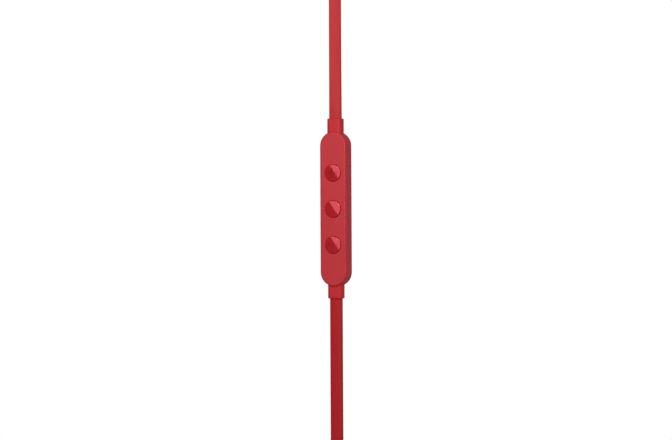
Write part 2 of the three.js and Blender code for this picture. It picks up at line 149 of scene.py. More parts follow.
def turned(name, corners, place, sign=-1, sides=64, sharp_angle=35):
    """A body of revolution about a line along Y through place, s running along sign * Y.

    The profile ends on the axis at both ends, or returns to its first corner.
    """
    profile = rounded_profile(corners)
    closed = corners[0][:2] == corners[-1][:2]
    if closed:
        profile = profile[:-1]
    px, py, pz = place
    points, rings = [], []
    for r, s in profile:
        if r < 1e-9:
            rings.append([len(points)])
            points.append((px, py + sign * s, pz))
            continue
        ring = []
        for k in range(sides):
            angle = 2 * math.pi * k / sides
            ring.append(len(points))
            points.append((px + r * math.cos(angle), py + sign * s, pz + r * math.sin(angle)))
        rings.append(ring)
    faces = []
    for i in range(len(rings) if closed else len(rings) - 1):
        a, b = rings[i], rings[(i + 1) % len(rings)]
        for k in range(sides):
            n = (k + 1) % sides
            face = [a[k % len(a)], a[n % len(a)], b[n % len(b)], b[k % len(b)]]
            unique = list(dict.fromkeys(face))
            if len(unique) > 2:
                faces.append(unique)
    return make_mesh(name, points, faces, sharp_angle)


def round_section(centre, u, v, width, thick, corner, steps=5):
    """Points of a rectangle with round corners across u and v."""
    points = []
    for quarter in range(4):
        su = 1 if quarter in (0, 3) else -1
        sv = 1 if quarter < 2 else -1
        for k in range(steps + 1):
            angle = (quarter + k / steps) * math.pi / 2
            a = su * (width / 2 - corner) + corner * math.cos(angle)
            b = sv * (thick / 2 - corner) + corner * math.sin(angle)
            points.append(tuple(Vector(centre) + Vector(u) * a + Vector(v) * b))
    return points


def stadium(half_width, half_length, z, steps=32):
    """Points of an outline with round ends, along Y."""
    points = []
    for end in (1, -1):
        centre = end * (half_length - half_width)
        for k in range(steps + 1):
            angle = math.pi * k / steps + (0 if end > 0 else math.pi)
            points.append((half_width * math.cos(angle), centre + half_width * math.sin(angle), z))
    return points


def quarter_turn(steps):
    """Angles from 0 to a right angle, both in."""
    return [math.pi / 2 * k / steps for k in range(steps + 1)]


def post(name, profile, x, y, sides=96):
    """A closed post along Z from a profile of (radius, z) points."""
    rings = []
    for radius, z in profile:
        ring = []
        for k in range(sides):
            angle = 2 * math.pi * k / sides
            ring.append((x + radius * math.cos(angle), y + radius * math.sin(angle), z))
        rings.append(ring)
    return loft(name, rings)


def block(name, x, y, z, corner=0.0):
    """A block from pairs of limits, with upright edges of the given radius."""
    y = sorted(y)
    if corner:
        size = (x[1] - x[0], y[1] - y[0])
        middle = ((x[0] + x[1]) / 2, (y[0] + y[1]) / 2)
        rings = [round_section((*middle, h), (1, 0, 0), (0, 1, 0), *size, corner) for h in z]
        return loft(name, rings)
    rings = [[(x[0], y[0], h), (x[1], y[0], h), (x[1], y[1], h), (x[0], y[1], h)] for h in z]
    return loft(name, rings)


def cut(target, cutter, sharp_angle=35):
    """target less cutter, and cutter is gone."""
    modifier = target.modifiers.new("cut", "BOOLEAN")
    modifier.operation = "DIFFERENCE"
    modifier.solver = "EXACT"
    modifier.object = cutter
    graph = bpy.context.evaluated_depsgraph_get()
    graph.update()
    mesh = bpy.data.meshes.new_from_object(target.evaluated_get(graph))
    target.modifiers.clear()
    old = target.data
    target.data = mesh
    bpy.data.meshes.remove(old)
    bpy.data.objects.remove(cutter)
    bm = bmesh.new()
    bm.from_mesh(mesh)
    bmesh.ops.remove_doubles(bm, verts=bm.verts, dist=MERGE_DISTANCE)
    set_smooth(bm, sharp_angle)
    bm.to_mesh(mesh)
    bm.free()
    return target


def flatten_shading(piece):
    """Big faces keep their flat look beside small fillets."""
    modifier = piece.modifiers.new("weighted", "WEIGHTED_NORMAL")
    modifier.keep_sharp = True
    modifier.weight = BIG_FACE_WEIGHT
    return piece


# ---------------------------------------------------------------- materials

GRAIN_DETAIL = 3
MOTTLE_SCALE, MOTTLE_DETAIL = 160, 4
MOTTLE_STOPS = (0.3, 0.7)


def surface(name, colour, roughness, metallic=0.0, grain=0.0, grain_size=0.3, mottle=0.0, **sockets):
    """A Principled material with an optional grain in the surface and faint mottle in the colour.

    grain is the height of the grain in millimetres, and grain_size its size. mottle is the share
    by which the colour varies.
    """
    material = bpy.data.materials.new(name)
    material.use_nodes = True
    nodes, links = material.node_tree.nodes, material.node_tree.links
    shader = nodes["Principled BSDF"]
    colour = linear(colour) if isinstance(colour, str) else [*colour, 1.0]
    shader.inputs["Base Color"].default_value = colour
    shader.inputs["Roughness"].default_value = roughness
    shader.inputs["Metallic"].default_value = metallic
    for socket, value in sockets.items():
        shader.inputs[socket.replace("_", " ")].default_value = value
    place = nodes.new("ShaderNodeTexCoord")
    if grain:
        noise = nodes.new("ShaderNodeTexNoise")
        noise.inputs["Scale"].default_value = 1 / (grain_size * MM)
        noise.inputs["Detail"].default_value = GRAIN_DETAIL
        links.new(place.outputs["Object"], noise.inputs["Vector"])
        bump = nodes.new("ShaderNodeBump")
        bump.inputs["Strength"].default_value = 1.0
        bump.inputs["Distance"].default_value = grain * MM
        links.new(noise.outputs["Fac"], bump.inputs["Height"])
        links.new(bump.outputs["Normal"], shader.inputs["Normal"])
    if mottle:
        noise = nodes.new("ShaderNodeTexNoise")
        noise.inputs["Scale"].default_value = MOTTLE_SCALE
        noise.inputs["Detail"].default_value = MOTTLE_DETAIL
        links.new(place.outputs["Object"], noise.inputs["Vector"])
        ramp = nodes.new("ShaderNodeValToRGB")
        stops = ramp.color_ramp.elements
        for stop, position, factor in zip(stops, MOTTLE_STOPS, (1 - mottle, 1 + mottle)):
            stop.color = [min(c * factor, 1.0) for c in colour[:3]] + [1.0]
            stop.position = position
        links.new(noise.outputs["Fac"], ramp.inputs["Fac"])
        links.new(ramp.outputs["Color"], shader.inputs["Base Color"])
    return material


SOFT_TOUCH = {"grain": 0.004, "grain_size": 0.12, "mottle": 0.03, "Specular_IOR_Level": 0.32}
SHELL = surface("soft_touch_red", (0.455, 0.011, 0.018), 0.52, **SOFT_TOUCH)
# The back shell takes the shell's red a little darker: painted shade on the lower side.
SHADED_BACK = surface("soft_touch_red_back_painted_shade", (0.45, 0.011, 0.018), 0.52, **SOFT_TOUCH)
BUTTON = surface(
    "gloss_red", (0.48, 0.005, 0.013), 0.05, metallic=0.27,
    Specular_IOR_Level=0.73, Specular_Tint=(0.92, 0.83, 1.0, 1.0),
)
# The sunk marks' darker red is painted shade, standing in for the shade inside the recesses.
BUTTON_MARK_SHADE = surface(
    "gloss_red_mark_painted_shade", (0.405, 0.0025, 0.006), 0.1, metallic=0.27, Specular_IOR_Level=0.6,
)
SLEEVE = surface(
    "sleeve_red", (0.475, 0.0135, 0.0195), 0.5,
    grain=0.003, grain_size=0.15, mottle=0.03, Specular_IOR_Level=0.2,
)
CORD = surface(
    "cord_red", (0.41, 0.005, 0.009), 0.52,
    grain=0.004, grain_size=0.25, mottle=0.04, Specular_IOR_Level=0.18,
)
SILICONE = surface("silicone_grey", "C9C9C6", 0.42, mottle=0.02, Subsurface_Weight=0.15)
PAD = surface("silicone_pad", "B9B9B6", 0.6, mottle=0.02)
BOARD = surface("board_green", "1D6B3A", 0.4, mottle=0.12)
BLACK = surface("plastic_black", "1C1C1E", 0.4, grain=0.003, grain_size=0.2)
STRAP = surface("strap_black", "1A1A1B", 0.6, grain=0.01, grain_size=0.35)
STEEL = surface("steel", "C4C5C6", 0.28, metallic=1.0, grain=0.002, grain_size=0.1)
GOLD = surface("gold_plate", "D9B25A", 0.22, metallic=1.0)
COPPER = surface("copper", "C07A45", 0.35, metallic=1.0)
FILM = surface("film", "D8D4C8", 0.35, mottle=0.02)


def dress(piece, material, *nodes, body=ROOT):
    """Gives a piece its material, its body and the CAD nodes that it stands for."""
    piece.data.materials.clear()
    piece.data.materials.append(material)
    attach(piece, body)
    if nodes:
        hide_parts(*nodes)
    return piece


# ---------------------------------------------------------------- camera

VIEW_TURN = math.radians(24.0)
VIEW_ROLL = math.radians(-0.29)
VIEW_DISTANCE = 600.0
AIM = Vector((0.0, -3.1, 2.1))
VIEW_WIDTH = 188.2
SENSOR_WIDTH = 36.0
CLIP = (0.01, 20.0)


def add_camera():
    """The camera, turned about Y from straight above the remote."""
    back = Vector((math.sin(VIEW_TURN), 0.0, math.cos(VIEW_TURN)))
    right = Vector((math.cos(VIEW_TURN), 0.0, -math.sin(VIEW_TURN)))
    up = back.cross(right)
    turn = Matrix.Rotation(VIEW_ROLL, 3, back)
    right, up = turn @ right, turn @ up
    data = bpy.data.cameras.new("camera")
    data.sensor_width = SENSOR_WIDTH
    data.lens = SENSOR_WIDTH * VIEW_DISTANCE / VIEW_WIDTH
    data.clip_start, data.clip_end = CLIP
    camera = bpy.data.objects.new("camera", data)
    bpy.context.scene.collection.objects.link(camera)
    place = Matrix((right, up, back)).transposed().to_4x4()
    place.translation = (AIM + back * VIEW_DISTANCE) * MM
    camera.matrix_world = place
    bpy.context.scene.camera = camera


add_camera()

# ---------------------------------------------------------------- cords

# Leans are in degrees; a start is a distance from the origin along the cord, before its length.
ARC_STEP, RUN_LENGTH = 1.2, 2.5
LARGEST_GAP = 4
IN_SLEEVE, IN_SPLITTER = 0.6, 0.8
TURN_X, TURN_Y, TURN_RADIUS = 8, 102, 8
UPPER_LEAN, LEAN_START, LEAN_LENGTH = 20, 20, 9
TWIST_START, TWIST_LENGTH, SINK_LENGTH = 60, 36, 30
LOWER_TWIST_START, LOWER_TWIST_LENGTH, LOWER_TURN_END = 64, 20, -84.0
LEFT_TURN_Y, PLUG_TURN_Y = -81, -149.5
MAIN_TURNS = 4


def arc(x, y, radius, start, end, z, roll=90.0, radius_end=None):
    """Stations of (x, y, z, roll) on an arc about (x, y), angles and roll in degrees."""
    if radius_end is None:
        radius_end = radius
    count = max(int(abs(math.radians(end - start)) * radius / ARC_STEP), 6)
    stations = []
    for i in range(count + 1):
        t = i / count
        angle = math.radians(mix(start, end, t))
        r = mix(radius, radius_end, ease(t))
        height = mix(z[0], z[1], ease(t))
        stations.append((x + r * math.cos(angle), y + r * math.sin(angle), height, roll))
    return stations


def run(start, end):
    """Stations from one station to another, both left out."""
    count = max(int((Vector(end[:3]) - Vector(start[:3])).length / RUN_LENGTH), 2)
    return [tuple(mix(a, b, i / count) for a, b in zip(start, end)) for i in range(1, count)]


def join(*parts):
    """One list of stations, with straight runs over the gaps between the parts."""
    made = list(parts[0])
    for part in parts[1:]:
        if (Vector(part[0][:3]) - Vector(made[-1][:3])).length > LARGEST_GAP:
            made += run(made[-1], part[0])
        made += list(part)
    return made


def into(place, z, steps, roll):
    """Stations that carry a cord into a relief at place, by steps along Y."""
    return [(place[0], place[1] + step, z, roll) for step in steps]


def cord_section(centre, u, v):
    """The cord's outline: flat faces with a faint crown, small round corners."""
    flat = CORD_WIDTH / 2 - CORD_CORNER
    half_thick = CORD_THICK / 2

    def on_corner(middle, angle):
        height = half_thick - CORD_CROWN - CORD_CORNER * (1 - math.sin(angle))
        return middle + CORD_CORNER * math.cos(angle), height

    half = [on_corner(flat, angle) for angle in quarter_turn(4)[:-1]]
    for k in range(7):
        t = 1 - 2 * k / 6
        half.append((flat * t, half_thick - CORD_CROWN * t * t))
    half += [on_corner(-flat, math.pi / 2 + angle) for angle in quarter_turn(4)[1:]]
    outline = [(side * a, side * b) for side in (1, -1) for a, b in half]
    return [tuple(Vector(centre) + Vector(u) * a + Vector(v) * b) for a, b in outline]


def flat_cord(name, stations):
    """A flat cord's mesh and its centreline in metres.

    At roll 0 the cord lies flat, and at roll 90 it stands on its edge.
    """
    up = Vector((0, 0, 1))
    points = [Vector(s[:3]) for s in stations]
    rings = []
    for i, station in enumerate(stations):
        along = (points[min(i + 1, len(points) - 1)] - points[max(i - 1, 0)]).normalized()
        side = along.cross(up).normalized()
        rise = side.cross(along)
        angle = math.radians(station[3])
        u = side * math.cos(angle) + rise * math.sin(angle)
        v = rise * math.cos(angle) - side * math.sin(angle)
        rings.append(cord_section(points[i], u, v))
    piece = loft(name, rings, sharp_angle=60)
    return piece, [tuple(p * MM) for p in points]


def upper_stations():
    """From the upper sleeve along +Y, on to its edge, and round to the right earbud."""
    made = []
    count = 52
    for i in range(count):
        y = mix(SLEEVE_END - IN_SLEEVE, TURN_Y - 1.0, i / (count - 1))
        z = mix(MID, EDGE_Z, ease((y - TWIST_START) / SINK_LENGTH))
        lean = UPPER_LEAN * (1 - math.exp((LEAN_START - y) / LEAN_LENGTH))
        twist = lean + (90 - UPPER_LEAN) * ease((y - TWIST_START) / TWIST_LENGTH)
        made.append((0.0, y, z, -twist))
    turn = arc(TURN_X, TURN_Y, TURN_RADIUS, 180, 0, (EDGE_Z, BUD_Z), roll=-90.0)
    return made + turn + into(RIGHT_BUD, BUD_Z, (2.0, 0.6, -0.6), -90.0)


def lower_stations():
    """From the lower sleeve along -Y, on to its edge, past the hank and into the splitter."""
    made = []
    count = 31
    for i in range(count):
        y = mix(-SLEEVE_END + IN_SLEEVE, LOWER_TURN_END, i / (count - 1))
        t = ease((-y - LOWER_TWIST_START) / LOWER_TWIST_LENGTH)
        made.append((SIDE_RUN_X * t, y, mix(MID, LOW_Z, t), 90 * t))
    radius = SPLITTER_X[0] - SIDE_RUN_X
    corner = arc(SPLITTER_X[0], SPLITTER_Y + radius, radius, 180, 270, (LOW_Z, LOW_Z))
    return join(made, corner, [(SPLITTER_X[0] + IN_SPLITTER, SPLITTER_Y, LOW_Z, 90.0)])


def hank_end(y, reach, start, end, z):
    """Half a turn round one end of the hank, which ends one step further in."""
    return arc(HANK_X, y, reach, start, end, (z, z), radius_end=reach - RUN_STEP)


def left_stations():
    """From the splitter, once round the hank's upper layer, to the left earbud in its slot."""
    radius = SPLITTER_X[0] - (HANK_X - OUTER_RUN)
    start = [(SPLITTER_X[0] + IN_SPLITTER, SPLITTER_Y, HIGH_Z, 90.0)]
    corner = arc(SPLITTER_X[0], SPLITTER_Y + radius, radius, 270, 180, (HIGH_Z, HIGH_Z))
    reach = OUTER_RUN - RUN_STEP
    top = hank_end(HANK_TOP, OUTER_RUN, 180, 0, HIGH_Z)
    bottom = hank_end(HANK_BOTTOM, reach, 0, -180, HIGH_Z)
    bend = (reach - RUN_STEP) / 2
    last = arc(HANK_X - bend, LEFT_TURN_Y, bend, 180, 0, (HIGH_Z, BUD_Z))
    end = into(LEFT_BUD, BUD_Z, (0.3, -0.7), 90.0)
    return join(start, corner, top, bottom, last, end)


def main_stations():
    """From the splitter, round the hank's lower layer and inwards, to the plug in its slot."""
    radius = HANK_X + OUTER_RUN - SPLITTER_X[1]
    start = [(SPLITTER_X[1] - IN_SPLITTER, SPLITTER_Y, LOW_Z, 90.0)]
    corner = arc(SPLITTER_X[1], SPLITTER_Y + radius, radius, 270, 360, (LOW_Z, LOW_Z))
    parts = [start, corner]
    reach = OUTER_RUN
    for turn in range(MAIN_TURNS):
        parts.append(hank_end(HANK_TOP, reach, 0, 180, LOW_Z))
        reach -= RUN_STEP
        if turn < MAIN_TURNS - 1:
            parts.append(hank_end(HANK_BOTTOM, reach, 180, 360, LOW_Z))
            reach -= RUN_STEP
    bend = (HANK_X - reach, PLUG[0])
    centre, radius = (bend[0] + bend[1]) / 2, (bend[1] - bend[0]) / 2
    parts.append(arc(centre, PLUG_TURN_Y, radius, 180, 360, (LOW_Z, PLUG[2])))
    parts.append(into(PLUG, PLUG[2], (-1.1, 0.8), 90.0))
    return join(*parts)


upper_cord, upper_path = flat_cord("upper_cord_visual", upper_stations())
dress(upper_cord, CORD, "upper_cord")
lower_cord, lower_path = flat_cord("lower_cord_visual", lower_stations())
dress(lower_cord, CORD, "lower_cord")
left_cord, left_path = flat_cord("left_cord_visual", left_stations())
dress(left_cord, CORD, "left_cord_tail", "left_cord_hank", "left_cord_end")
main_cord, main_path = flat_cord("main_cord_visual", main_stations())
dress(main_cord, CORD, "main_cord_tail", "main_cord_hank", "main_cord_end")

# ---------------------------------------------------------------- remote


WALL = 0.8
SEAM, SEAM_GAP, SEAM_EDGE = 0.78, 0.06, 0.05
FRONT_EDGE, BACK_EDGE = 0.42, 0.3
LIP_GAP, LIP_THICK, LIP_HEIGHT = 0.1, 0.4, 0.4
HOLE_RADIUS, HOLE_MOUTH, HOLE_EDGE = 2.46, 2.52, 0.03
MOUTH_HALF, MOUTH_START, MOUTH_LOW, MOUTH_HIGH = 2.25, 17.8, 0.56, 3.64
LIP_MOUTH_HALF, LIP_MOUTH_START, MOUTH_TOP, MOUTH_END = 3.2, 17.4, 3.0, 24.0
PORT_RADIUS, PORT_Y = 0.5, -14.0


def remote_outline(inset, z):
    """The remote's outline at a height, drawn in by the inset."""
    return stadium(REMOTE_WIDTH / 2 - inset, REMOTE_LENGTH / 2 - inset, z)


def sleeve_mouth(side, half, start, z):
    """What a sleeve's mouth takes out of a shell's end."""
    return block("notch", (-half, half), (side * start, side * MOUTH_END), z)


def front_shell():
    """The hollow moulding with the three button holes."""
    low = SEAM + SEAM_GAP
    rings = [
        remote_outline(WALL, REMOTE_HEIGHT - WALL),
        remote_outline(WALL, low),
        remote_outline(SEAM_EDGE, low),
        remote_outline(0.0, low + SEAM_EDGE),
    ]
    for angle in quarter_turn(6):
        inset = FRONT_EDGE * (1 - math.cos(angle))
        rings.append(remote_outline(inset, REMOTE_HEIGHT - FRONT_EDGE * (1 - math.sin(angle))))
    shell = loft("remote_front_shell_visual", rings)
    hole_profile = [
        (HOLE_RADIUS, REMOTE_HEIGHT - 1.2), (HOLE_RADIUS, REMOTE_HEIGHT - HOLE_EDGE),
        (HOLE_MOUTH, REMOTE_HEIGHT + HOLE_EDGE), (HOLE_MOUTH, REMOTE_HEIGHT + 0.8),
    ]
    for i in (-1, 0, 1):
        cut(shell, post("hole", hole_profile, 0, i * PITCH))
    for side in (1, -1):
        cut(shell, sleeve_mouth(side, MOUTH_HALF, MOUTH_START, (0.0, MOUTH_HIGH)))
    dress(flatten_shading(shell), SHELL, "remote_front_shell")


def back_shell():
    """The flat moulding with a lip that fits inside the front shell."""
    rings = []
    for angle in quarter_turn(6):
        inset = BACK_EDGE * (1 - math.sin(angle))
        rings.append(remote_outline(inset, BACK_EDGE * (1 - math.cos(angle))))
    lip = WALL + LIP_GAP
    rings += [
        remote_outline(0.0, SEAM - SEAM_EDGE),
        remote_outline(SEAM_EDGE, SEAM),
        remote_outline(lip, SEAM),
        remote_outline(lip, SEAM + LIP_HEIGHT),
        remote_outline(lip + LIP_THICK, SEAM + LIP_HEIGHT),
        remote_outline(lip + LIP_THICK, SEAM - 0.02),
    ]
    back = loft("remote_back_shell_visual", rings)
    cut(back, post("port", [(PORT_RADIUS, -1.0), (PORT_RADIUS, 2.0)], 0, PORT_Y, sides=32))
    for side in (1, -1):
        cut(back, sleeve_mouth(side, LIP_MOUTH_HALF, LIP_MOUTH_START, (SEAM + 0.001, MOUTH_TOP)))
        cut(back, sleeve_mouth(side, MOUTH_HALF, MOUTH_START, (MOUTH_LOW, MOUTH_TOP)))
    dress(flatten_shading(back), SHADED_BACK, "remote_back_shell")


CAP_TOP = REMOTE_HEIGHT + 0.42
CAP_RADIUS, CAP_EDGE, CAP_CROWN = 2.4, 0.16, 0.08
FLANGE_RADIUS, FLANGE_Z = 2.75, (3.08, 3.33)
MARK_HALF, MARK_WIDTH, MARK_DEPTH, MARK_CORNER = 1.45, 0.58, 0.12, 0.18
DOT_RADIUS = 0.26
PLUS_TILT, MINUS_TILT = 0.013, 0.004


def cap_profile(top):
    """Half the outline of a cap whose top face is a shallow dome."""
    profile = [(FLANGE_RADIUS, FLANGE_Z[0]), (FLANGE_RADIUS, FLANGE_Z[1]), (CAP_RADIUS, FLANGE_Z[1])]
    for angle in quarter_turn(5):
        radius = CAP_RADIUS - CAP_EDGE * (1 - math.cos(angle))
        profile.append((radius, top - CAP_CROWN - CAP_EDGE * (1 - math.sin(angle))))
    for k in range(1, 10):
        t = k / 10
        profile.append(((CAP_RADIUS - CAP_EDGE) * (1 - t), top - CAP_CROWN * (1 - t) ** 2))
    return profile


def mark_cutters(y, mark):
    """What a sunk plus, minus or dot takes out of a cap; the floor of a bar follows the dome."""
    high = CAP_TOP + 1
    if mark == "dot":
        floor = CAP_TOP - MARK_DEPTH
        return [post("mark", [(DOT_RADIUS, floor), (DOT_RADIUS, high)], 0, y, sides=32)]
    half = MARK_WIDTH / 2
    z = (CAP_TOP - 0.5, high)
    bars = [block("mark", (-MARK_HALF, MARK_HALF), (y - half, y + half), z, MARK_CORNER)]
    if mark == "plus":
        bars.append(block("mark", (-half, half), (y - MARK_HALF, y + MARK_HALF), z, MARK_CORNER))
    for bar in bars:
        cut(bar, post("floor", cap_profile(CAP_TOP - MARK_DEPTH), 0, y))
    return bars


def remote_button(name, y, mark, tilt=0.0):
    """A gloss cap with a sunk mark, tilted a little above its flange; the mark's faces carry painted
    shade.
    """
    cap = post(name + "_visual", cap_profile(CAP_TOP), 0, y)
    for cutter in mark_cutters(y, mark):
        cut(cap, cutter)
    dress(flatten_shading(cap), BUTTON, name, body=name)
    cap.data.materials.append(BUTTON_MARK_SHADE)
    # Faces inside the sunk mark take the darker red: painted shade in the recess.
    for face in cap.data.polygons:
        radius = math.hypot(face.center.x / MM, face.center.y / MM - y)
        dome = CAP_TOP - CAP_CROWN * (radius / (CAP_RADIUS - CAP_EDGE)) ** 2
        if radius < MARK_HALF + 0.1 and FLANGE_Z[1] < face.center.z / MM < dome - MARK_DEPTH / 3:
            face.material_index = 1
    for vertex in cap.data.vertices:
        if vertex.co.z / MM > FLANGE_Z[1] + 0.1:
            vertex.co.z += tilt * (vertex.co.x + vertex.co.y - y * MM)


SLEEVE_WIDTH, SLEEVE_THICK, SLEEVE_CORNER, SLEEVE_LIP = 4.32, 3.0, 0.85, 0.3
LOWER_SLEEVE_END = SLEEVE_END - 0.24
COLLAR_WIDTH, COLLAR_THICK, COLLAR_CORNER = 5.2, 2.3, 0.25
COLLAR_START, COLLAR_END = 18.0, 19.1


def remote_sleeve(name, side, end):
    """A strain relief at one end of the remote, held by a collar inside the shells."""

    def ring(y, width, thick, corner):
        centre = (0, side * y, MID)
        return round_section(centre, (1, 0, 0), (0, 0, 1), width, thick, corner, steps=6)

    rings = [
        ring(COLLAR_START, COLLAR_WIDTH, COLLAR_THICK, COLLAR_CORNER),
        ring(COLLAR_END, COLLAR_WIDTH, COLLAR_THICK, COLLAR_CORNER),
        ring(COLLAR_END, SLEEVE_WIDTH, COLLAR_THICK, 0.5),
        ring(COLLAR_END + 0.1, SLEEVE_WIDTH, SLEEVE_THICK, SLEEVE_CORNER),
        ring(22.0, SLEEVE_WIDTH, SLEEVE_THICK, SLEEVE_CORNER),
    ]
    for angle in quarter_turn(5):
        inset = SLEEVE_LIP * (1 - math.cos(angle))
        y = end - SLEEVE_LIP * (1 - math.sin(angle))
        width, thick = SLEEVE_WIDTH - 2 * inset, SLEEVE_THICK - 2 * inset
        rings.append(ring(y, width, thick, SLEEVE_CORNER - inset))
    dress(flatten_shading(loft(name + "_visual", rings)), SLEEVE, name)


front_shell()
back_shell()
remote_button("volume_up_button", PITCH, "plus", tilt=PLUS_TILT)
remote_button("centre_button", 0.0, "dot")
remote_button("volume_down_button", -PITCH, "minus", tilt=MINUS_TILT)
remote_sleeve("upper_strain_relief", 1, SLEEVE_END)
remote_sleeve("lower_strain_relief", -1, LOWER_SLEEVE_END)

# ---------------------------------------------------------------- earbuds


RELIEF_WIDTH, RELIEF_THICK, RELIEF_CORNER = 4.15, 2.15, 0.6
RIB_DEPTH, RIB_WAVES = 0.28, 7
NECK_SIDE, NECK_CORNER, NECK_LENGTH = 4.0, 1.9, 1.6


def relief(name, place, sign, length, end_radius, node):
    """A tapered relief that grows from the flat cord to a round neck, with ribs."""
    x, y, z = place
    u, v = (0, 0, 1), (1, 0, 0)
    rings = []
    count = 36
    for i in range(count + 1):
        t = i / count
        width = mix(RELIEF_WIDTH, 2 * end_radius, ease(t))
        thick = mix(RELIEF_THICK, 2 * end_radius, ease(t))
        wave = max(0.0, math.sin(t * math.pi * RIB_WAVES)) ** 4
        groove = RIB_DEPTH * wave if 0.1 < t < 0.9 else 0.0
        corner = mix(RELIEF_CORNER, end_radius * 0.98, t) - groove
        first = 0.3 * (1 - ease(i / 2)) if i < 2 else 0.0
        width, thick = width - 2 * groove - first, thick - 2 * groove - first
        corner = min(max(corner, 0.3), thick / 2 * 0.98)
        rings.append(round_section((x, y + sign * t * length, z), u, v, width, thick, corner))
    for s in (length + 0.02, length + NECK_LENGTH):
        centre = (x, y + sign * s, z)
        rings.append(round_section(centre, u, v, NECK_SIDE, NECK_SIDE, NECK_CORNER))
    return dress(loft(name, rings, sharp_angle=50), SLEEVE, node)


def earbud(side, x, y):
    """An earbud whose profiles run from the cord's end to the ear tip."""
    place = (x, y, BUD_Z)

    def make(part, corners, material, body=ROOT, sides=64):
        name = side + "_" + part
        dress(turned(name + "_visual", corners, place, sides=sides), material, name, body=body)

    relief_node = side + "_earbud_strain_relief"
    relief(relief_node + "_visual", place, -1, 6.0, 2.8, relief_node)
    make("rear_housing", [
        (2.3, 6.15, 0), (3.1, 6.15, 0.3), (3.5, 6.6, 0.4), (4.6, 7.9, 1.2), (5.25, 9.6, 1.2),
        (5.5, 11.6, 1.0), (5.5, 13.0, 0.05), (5.42, 13.35, 0.1), (4.8, 13.35, 0), (4.8, 11.4, 0),
        (4.3, 9.6, 0), (3.4, 8.5, 0), (2.3, 7.9, 0), (2.3, 6.15, 0),
    ], SHELL)
    make("front_housing", [
        (4.6, 13.45, 0), (5.42, 13.45, 0.1), (5.5, 13.75, 0.1), (5.45, 15.2, 0.6), (5.0, 16.4, 0.8),
        (3.9, 17.4, 0.8), (2.6, 17.9, 0.5), (2.6, 22.7, 0.1), (2.75, 22.9, 0.1), (2.75, 23.5, 0.15),
        (2.5, 23.8, 0.1), (2.0, 23.8, 0.1), (2.0, 18.2, 0), (4.2, 16.4, 0), (4.6, 15.6, 0),
        (4.6, 13.45, 0),
    ], SHELL)
    make("nozzle_mesh", [(0, 23.2, 0), (1.88, 23.2, 0), (1.88, 23.4, 0), (0, 23.4, 0)], STEEL)
    make("ear_tip", [
        (2.85, 18.6, 0), (3.35, 18.6, 0.15), (3.4, 23.4, 0.3), (4.3, 23.2, 0.5), (5.3, 21.8, 0.8),
        (5.65, 20.0, 0.8), (5.7, 18.9, 0.1), (6.1, 18.8, 0.15), (6.2, 19.8, 0.5), (6.0, 21.6, 1.0),
        (5.4, 23.3, 1.2), (4.2, 24.6, 1.0), (3.0, 25.4, 0.5), (2.2, 25.5, 0.25), (1.9, 25.2, 0.15),
        (1.9, 24.3, 0.1), (2.85, 24.1, 0.1), (2.85, 18.6, 0),
    ], SILICONE, body=side + "_ear_tip", sides=80)


earbud("right", *RIGHT_BUD)
earbud("left", *LEFT_BUD)

# ---------------------------------------------------------------- plug, splitter and tie


PIN_RADIUS, PIN_EDGE = 1.75, 0.03
SPLITTER_HEIGHT, SPLITTER_THICK, SPLITTER_CORNER = 7.9, 4.1, 1.25
SPLITTER_EDGE, SPLITTER_EDGE_LENGTH, SPLITTER_WAIST = 0.6, 0.9, 0.18
TIE_X, TIE_Z = (-4.9, 26.2), (0.05, 8.7)
TIE_Y, TIE_EDGE = ((-123.9, -123.75), (-116.25, -116.1)), 0.12
TIE_BAND, TIE_CORNER, TIE_INNER_CORNER = 0.9, 2.2, 1.8


def plug():
    """The plug's visible pieces; the profiles run from the cord's end to the tip."""
    made = []

    def make(name, corners, material):
        piece = turned(name + "_visual", corners, PLUG, sign=1)
        made.append(dress(piece, material, name))

    made.append(relief("plug_strain_relief_visual", PLUG, 1, 6.2, 2.3, "plug_strain_relief"))
    make("plug_housing", [
        (1.95, 6.4, 0), (2.6, 6.4, 0.2), (2.95, 6.8, 0.3), (3.0, 7.6, 0.3), (3.0, 11.2, 0.1),
        (2.85, 11.4, 0.1), (2.85, 11.7, 0.1), (3.0, 11.9, 0.1), (3.0, 16.6, 0.4), (2.8, 17.4, 0.3),
        (2.5, 17.6, 0.1), (1.85, 17.6, 0), (1.85, 8.3, 0), (1.95, 8.3, 0), (1.95, 6.4, 0),
    ], SHELL)
    make("plug_sleeve", [
        (0, 14.6, 0), (1.7, 14.6, 0), (1.7, 17.7, 0.1), (PIN_RADIUS, 17.9, 0.1),
        (PIN_RADIUS, 22.0, 0.05), (0, 22.0, 0),
    ], GOLD)
    for name, start, end, material in (
        ("plug_insulator_3", 22.02, 22.5, BLACK),
        ("plug_ring_2", 22.52, 24.6, GOLD),
        ("plug_insulator_2", 24.62, 25.1, BLACK),
        ("plug_ring_1", 25.12, 27.2, GOLD),
        ("plug_insulator_1", 27.22, 27.7, BLACK),
    ):
        rim = [(PIN_RADIUS, start, PIN_EDGE), (PIN_RADIUS, end, PIN_EDGE)]
        make(name, [(0, start, 0), *rim, (0, end, 0)], material)
    make("plug_tip", [
        (0, 27.74, 0), (PIN_RADIUS, 27.74, 0.05), (PIN_RADIUS, 28.1, 0.15), (1.2, 28.7, 0.2),
        (1.25, 28.9, 0.2), (1.72, 29.7, 0.35), (1.6, 30.4, 0.3), (0.9, 31.2, 0.4), (0, 31.5, 0),
    ], GOLD)
    return made


